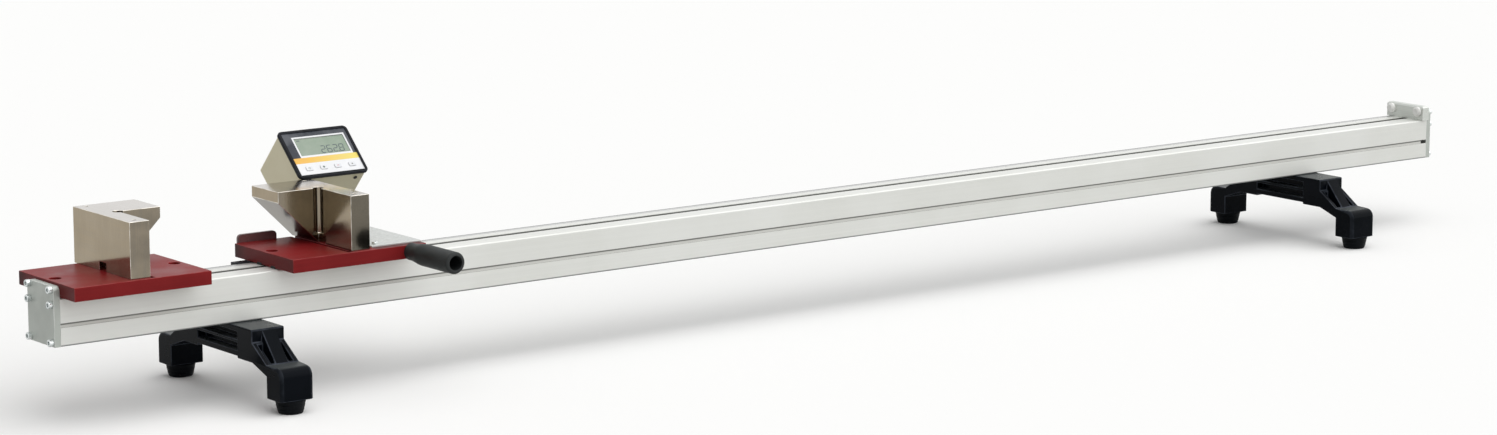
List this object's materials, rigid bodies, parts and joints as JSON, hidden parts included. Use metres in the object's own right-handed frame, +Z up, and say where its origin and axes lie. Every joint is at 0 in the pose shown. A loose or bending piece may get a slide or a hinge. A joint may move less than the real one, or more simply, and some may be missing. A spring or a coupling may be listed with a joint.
{
  "type": "digital length gauge",
  "caption": "Bench length gauge: a long rail on moulded legs with a fixed steel stop, a sliding carriage with a second stop, a tilted display and a grip.",
  "frame": {"origin": "on the floor, at the bottom centre of the overall box", "axes": "+X along the rail from the fixed stop to the far buffer bar, -Y to the user's side with the grip, +Z up"},
  "size_m": [2.201, 0.3302, 0.2769],
  "materials": {
    "anodised_rail": "satin clear anodised extrusion",
    "tape_steel": "brushed cover of the magnetic scale",
    "cover_strip": "matte grey snap-in strip",
    "grey_end_plate": "satin grey",
    "screw_steel": "zinc plated steel",
    "red_plate": "red anodised, satin",
    "glide_plastic": "black low-friction plastic",
    "stop_steel": "ground and polished",
    "buffer_white": "matte white",
    "leg_plastic": "satin black moulded",
    "foot_rubber": "matte black",
    "black_plastic": "matte black",
    "bracket_sheet": "galvanised sheet",
    "case_paint": "champagne satin",
    "panel_film": "printed film, matte",
    "display_glass": "grey-green display behind glass",
    "board_green": "green board",
    "key_plastic": "light grey matte"
  },
  "bodies": {
    "base": {"rail": "anodised_rail", "scale_tape": "tape_steel", "front_slot_cover": "cover_strip", "rear_slot_cover": "cover_strip", "near_end_plate": "grey_end_plate", "far_end_plate": "grey_end_plate", "near_end_screws": "screw_steel", "far_end_screws": "screw_steel", "fixed_plate": "red_plate", "fixed_plate_strips": "glide_plastic", "fixed_plate_screws": "screw_steel", "fixed_plate_nuts": "screw_steel", "fixed_stop": "stop_steel", "fixed_stop_screws": "screw_steel", "buffer_bar": "grey_end_plate", "buffers": "buffer_white", "near_leg": "leg_plastic", "far_leg": "leg_plastic", "leg_screws": "screw_steel", "leg_nuts": "screw_steel", "near_front_foot": "foot_rubber", "near_rear_foot": "foot_rubber", "far_front_foot": "foot_rubber", "far_rear_foot": "foot_rubber", "foot_screws": "screw_steel"},
    "carriage": {"carriage_plate": "red_plate", "glide_strips": "glide_plastic", "slot_keys": "glide_plastic", "slot_key_screws": "screw_steel", "moving_stop": "stop_steel", "moving_stop_screws": "screw_steel", "keeper_bar": "black_plastic", "rear_tab": "black_plastic", "sensor_head": "black_plastic", "grip": "black_plastic", "grip_screw": "screw_steel", "console_bracket": "bracket_sheet", "bracket_screws": "screw_steel", "console_case": "case_paint", "bezel": "black_plastic", "front_panel": "panel_film", "display_module": "display_glass", "circuit_board": "board_green", "battery_pack": "black_plastic"},
    "key_1_body": {"key_1": "key_plastic"},
    "key_2_body": {"key_2": "key_plastic"},
    "key_3_body": {"key_3": "key_plastic"},
    "key_4_body": {"key_4": "key_plastic"}
  },
  "joints": [
    {"name": "carriage_slide", "type": "slide", "parent": "base", "child": "carriage", "axis": [1, 0, 0], "range_m": [-0.106, 1.697]},
    {"name": "key_1_press", "type": "slide", "parent": "carriage", "child": "key_1_body", "axis": [0, 0.682, -0.7314], "range_m": [0, 0.0005], "stiffness_N_per_m": 600, "springref_m": -0.0005},
    {"name": "key_2_press", "type": "slide", "parent": "carriage", "child": "key_2_body", "axis": [0, 0.682, -0.7314], "range_m": [0, 0.0005], "stiffness_N_per_m": 600, "springref_m": -0.0005},
    {"name": "key_3_press", "type": "slide", "parent": "carriage", "child": "key_3_body", "axis": [0, 0.682, -0.7314], "range_m": [0, 0.0005], "stiffness_N_per_m": 600, "springref_m": -0.0005},
    {"name": "key_4_press", "type": "slide", "parent": "carriage", "child": "key_4_body", "axis": [0, 0.682, -0.7314], "range_m": [0, 0.0005], "stiffness_N_per_m": 600, "springref_m": -0.0005}
  ]
}
